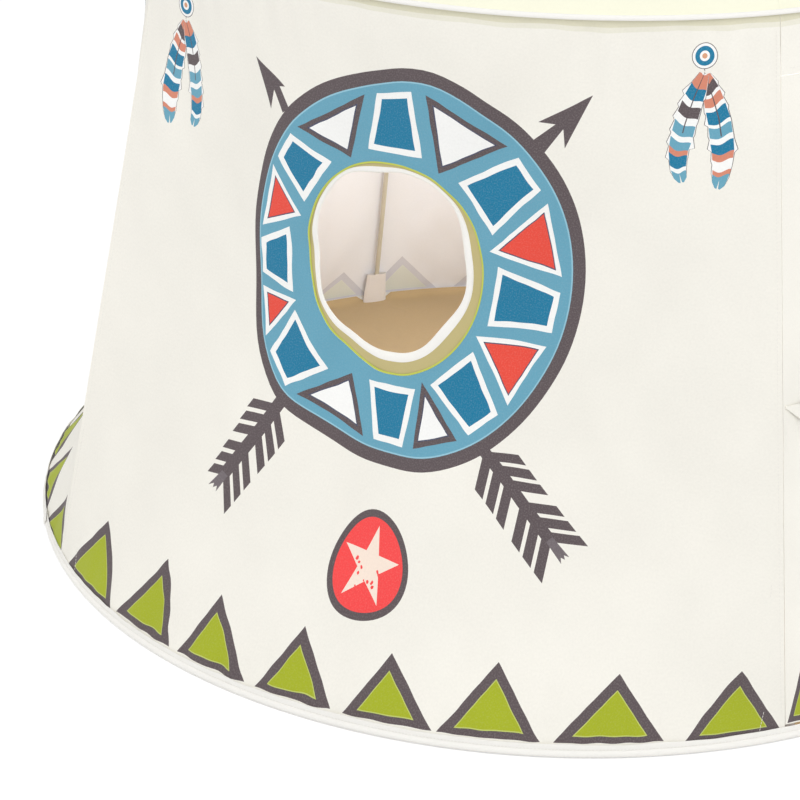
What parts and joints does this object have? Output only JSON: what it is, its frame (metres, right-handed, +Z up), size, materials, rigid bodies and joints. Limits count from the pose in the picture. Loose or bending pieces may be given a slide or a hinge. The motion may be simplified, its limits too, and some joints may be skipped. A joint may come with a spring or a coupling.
{
  "type": "play tent",
  "caption": "Round child's play tent with flared cloth walls on a jointed pole frame, a pointed roof, a round window and a doorway with tied-back curtains.",
  "frame": {"origin": "on the ground at the centre of the tent's round floor", "axes": "+Z up along the tent's centre line, -Y out through the doorway, -X out through the round window"},
  "size_m": [1.1942, 1.1942, 1.3499],
  "materials": {
    "wall_cloth": "plain-woven cotton, off-white with a printed border and motifs",
    "roof_cloth": "plain-woven cotton, pale yellow",
    "hem_tape": "white woven tape and piping, lightly puckered at its stitching",
    "floor_cloth": "plain tan padded cloth",
    "pocket_cloth": "thin white nylon, slightly see-through",
    "facing_cloth": "olive cotton facing",
    "fibreglass": "tan fibreglass rod",
    "metal": "drawn steel",
    "plastic": "moulded plastic"
  },
  "bodies": {
    "root": {"hem_hoop": "metal", "hem_hoop_sleeve": "metal", "eaves_hoop": "metal", "eaves_hoop_sleeve": "metal", "hem_tunnel": "hem_tape", "eaves_piping": "hem_tape", "floor_mat": "floor_cloth", "wall_panel_window": "wall_cloth", "wall_panel_rear": "wall_cloth", "wall_panel_right": "wall_cloth", "door_header": "wall_cloth", "window_facing": "facing_cloth", "window_binding": "hem_tape", "roof_gore_front": "roof_cloth", "roof_gore_right": "roof_cloth", "roof_gore_rear": "roof_cloth", "roof_gore_left": "roof_cloth", "peak_cap": "roof_cloth", "crown_hub": "plastic", "wall_pole_lower_front_right": "fibreglass", "wall_pole_lower_rear_right": "fibreglass", "wall_pole_lower_rear_left": "fibreglass", "wall_pole_lower_front_left": "fibreglass", "wall_pole_upper_front_right": "fibreglass", "wall_pole_upper_rear_right": "fibreglass", "wall_pole_upper_rear_left": "fibreglass", "wall_pole_upper_front_left": "fibreglass", "pole_ferrule_front_right": "metal", "pole_ferrule_rear_right": "metal", "pole_ferrule_rear_left": "metal", "pole_ferrule_front_left": "metal", "eaves_elbow_front_right": "plastic", "eaves_elbow_rear_right": "plastic", "eaves_elbow_rear_left": "plastic", "eaves_elbow_front_left": "plastic", "corner_pocket_front_right": "pocket_cloth", "corner_pocket_rear_right": "pocket_cloth", "corner_pocket_rear_left": "pocket_cloth", "corner_pocket_front_left": "pocket_cloth", "roof_pole_front_right": "fibreglass", "roof_pole_rear_right": "fibreglass", "roof_pole_rear_left": "fibreglass", "roof_pole_front_left": "fibreglass"},
    "curtain_left": {"door_curtain_left": "wall_cloth", "tie_back_left": "hem_tape"},
    "curtain_right": {"door_curtain_right": "wall_cloth", "tie_back_right": "hem_tape"}
  },
  "joints": [
    {"name": "curtain_left_swing", "type": "hinge", "parent": "root", "child": "curtain_left", "pos_m": [-0.41931, -0.41931, 0.0123], "axis": [-0.1294, -0.1294, -0.9831], "range_deg": [0, 90]},
    {"name": "curtain_right_swing", "type": "hinge", "parent": "root", "child": "curtain_right", "pos_m": [0.41931, -0.41931, 0.0123], "axis": [-0.1294, 0.1294, 0.9831], "range_deg": [0, 90]}
  ]
}
